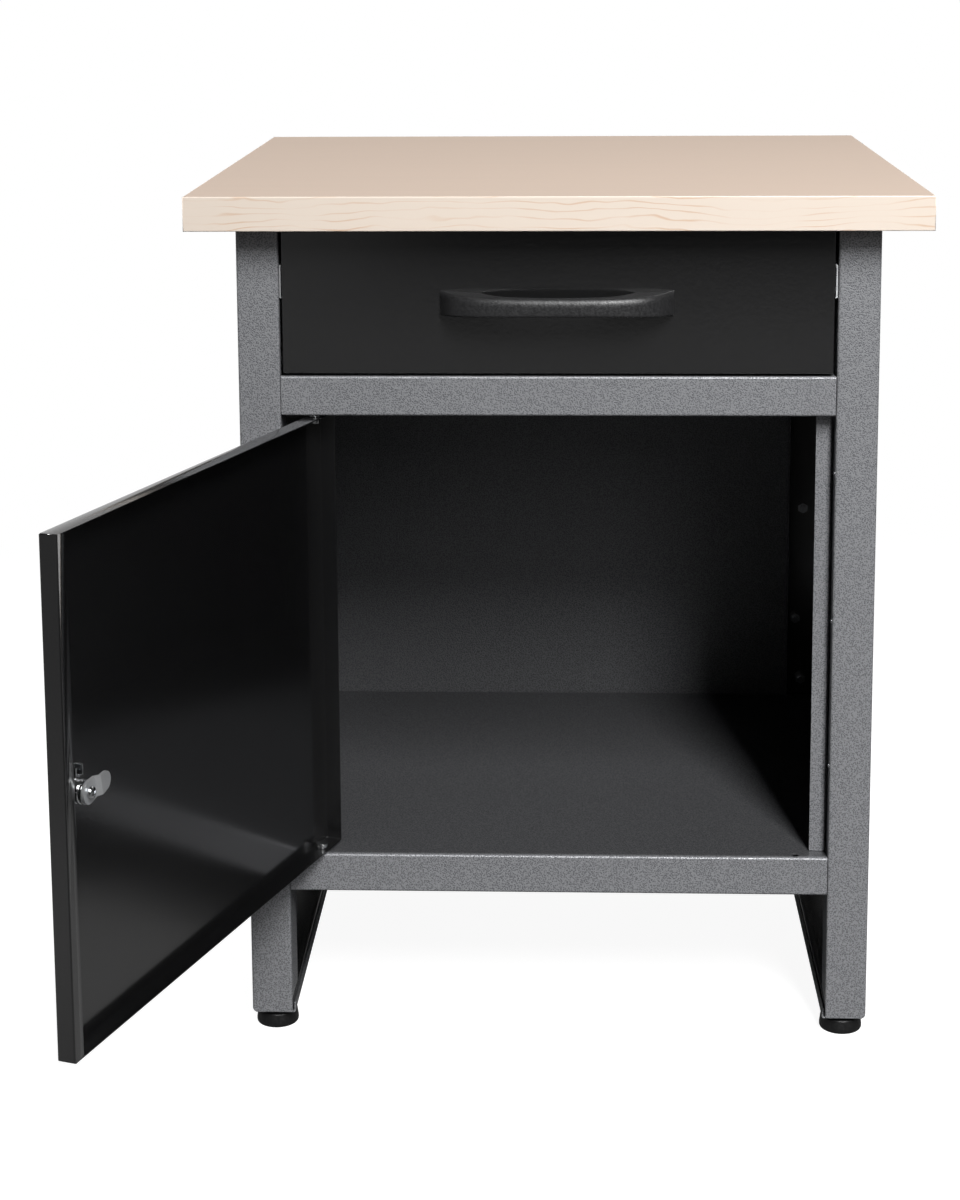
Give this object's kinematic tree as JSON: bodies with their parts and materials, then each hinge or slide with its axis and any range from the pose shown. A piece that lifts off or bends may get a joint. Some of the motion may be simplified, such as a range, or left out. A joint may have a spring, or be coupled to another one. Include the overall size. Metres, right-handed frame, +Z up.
{
  "type": "workbench with a drawer and a cabinet door",
  "caption": "Free-standing sheet-steel workbench: a laminated top, a drawer on ball slides under it, and a cabinet closed by a pin-hung door with a cam lock.",
  "frame": {"origin": "on the floor, in the middle of the space the bench takes with its drawer shut and its door open as in the picture", "axes": "+Z up, -Y towards the front with the drawer and door, +X to the right of someone who faces the front"},
  "size_m": [0.6424, 0.9692, 0.722],
  "materials": {
    "grey_paint": "grey hammertone paint, satin",
    "black_paint": "black powder coat, satin",
    "laminate": "pale wood-print laminate, matt",
    "edge_band": "maple-print edge band, satin",
    "zinc": "bright zinc plating",
    "black_plastic": "moulded black plastic"
  },
  "bodies": {
    "frame": {"leg_front_left": "grey_paint", "leg_front_right": "grey_paint", "leg_rear_left": "grey_paint", "leg_rear_right": "grey_paint", "foot_rail_left": "grey_paint", "foot_rail_right": "grey_paint", "top_rail_left": "grey_paint", "top_rail_right": "grey_paint", "top_rail_rear": "grey_paint", "back_panel": "grey_paint", "mid_rail": "grey_paint", "bottom_shelf": "grey_paint", "door_stop_strip": "grey_paint", "side_panel_left": "black_paint", "side_panel_right": "black_paint", "worktop_board": "laminate", "worktop_band_front": "edge_band", "worktop_band_rear": "edge_band", "worktop_band_left": "edge_band", "worktop_band_right": "edge_band", "worktop_screw_front_left": "zinc", "worktop_screw_front_right": "zinc", "worktop_screw_rear_left": "zinc", "worktop_screw_rear_right": "zinc", "panel_bolt_low_left": "zinc", "panel_bolt_high_left": "zinc", "panel_bolt_lap_left": "zinc", "panel_bolt_low_right": "zinc", "panel_bolt_high_right": "zinc", "panel_bolt_lap_right": "zinc", "stop_screw_1": "zinc", "stop_screw_2": "zinc", "stop_screw_3": "zinc", "slide_outer_left": "zinc", "slide_outer_right": "zinc"},
    "drawer": {"drawer_front": "black_paint", "drawer_side_left": "black_paint", "drawer_side_right": "black_paint", "drawer_floor": "black_paint", "drawer_back": "black_paint", "drawer_handle": "black_plastic", "handle_screw_left": "zinc", "handle_screw_right": "zinc", "slide_inner_left": "zinc", "slide_inner_right": "zinc"},
    "cage_left": {"slide_cage_left": "zinc"},
    "cage_right": {"slide_cage_right": "zinc"},
    "door": {"door_panel": "black_paint", "pivot_pin_upper": "zinc", "pivot_pin_lower": "zinc", "lock_body": "zinc", "lock_clip": "zinc"},
    "lock_barrel": {"lock_plug": "zinc", "lock_cam": "zinc", "cam_screw": "zinc"},
    "foot_fl": {"foot_front_left": "black_plastic"},
    "foot_fr": {"foot_front_right": "black_plastic"},
    "foot_rl": {"foot_rear_left": "black_plastic"},
    "foot_rr": {"foot_rear_right": "black_plastic"}
  },
  "joints": [
    {"name": "drawer_slide", "type": "slide", "parent": "frame", "child": "drawer", "axis": [0, -1, 0], "range_m": [0, 0.3]},
    {"name": "cage_left_slide", "type": "slide", "parent": "frame", "child": "cage_left", "axis": [0, -1, 0], "range_m": [0, 0.15]},
    {"name": "cage_right_slide", "type": "slide", "parent": "frame", "child": "cage_right", "axis": [0, -1, 0], "range_m": [0, 0.15]},
    {"name": "door_hinge", "type": "hinge", "parent": "frame", "child": "door", "pos_m": [-0.17935, -0.0784, 0.3485], "axis": [0, 0, -1], "range_deg": [-108.5, 40]},
    {"name": "lock_turn", "type": "hinge", "parent": "door", "child": "lock_barrel", "pos_m": [-0.30595, -0.45678, 0.3485], "axis": [0.9483, -0.3173, 0], "range_deg": [-10, 170]},
    {"name": "foot_fl_screw", "type": "slide", "parent": "frame", "child": "foot_fl", "axis": [0, 0, -1], "range_m": [0, 0.012]},
    {"name": "foot_fr_screw", "type": "slide", "parent": "frame", "child": "foot_fr", "axis": [0, 0, -1], "range_m": [0, 0.012]},
    {"name": "foot_rl_screw", "type": "slide", "parent": "frame", "child": "foot_rl", "axis": [0, 0, -1], "range_m": [0, 0.012]},
    {"name": "foot_rr_screw", "type": "slide", "parent": "frame", "child": "foot_rr", "axis": [0, 0, -1], "range_m": [0, 0.012]}
  ],
  "couplings": [
    {"joint": "cage_left_slide", "follows": "drawer_slide", "ratio": 0.5},
    {"joint": "cage_right_slide", "follows": "drawer_slide", "ratio": 0.5}
  ]
}
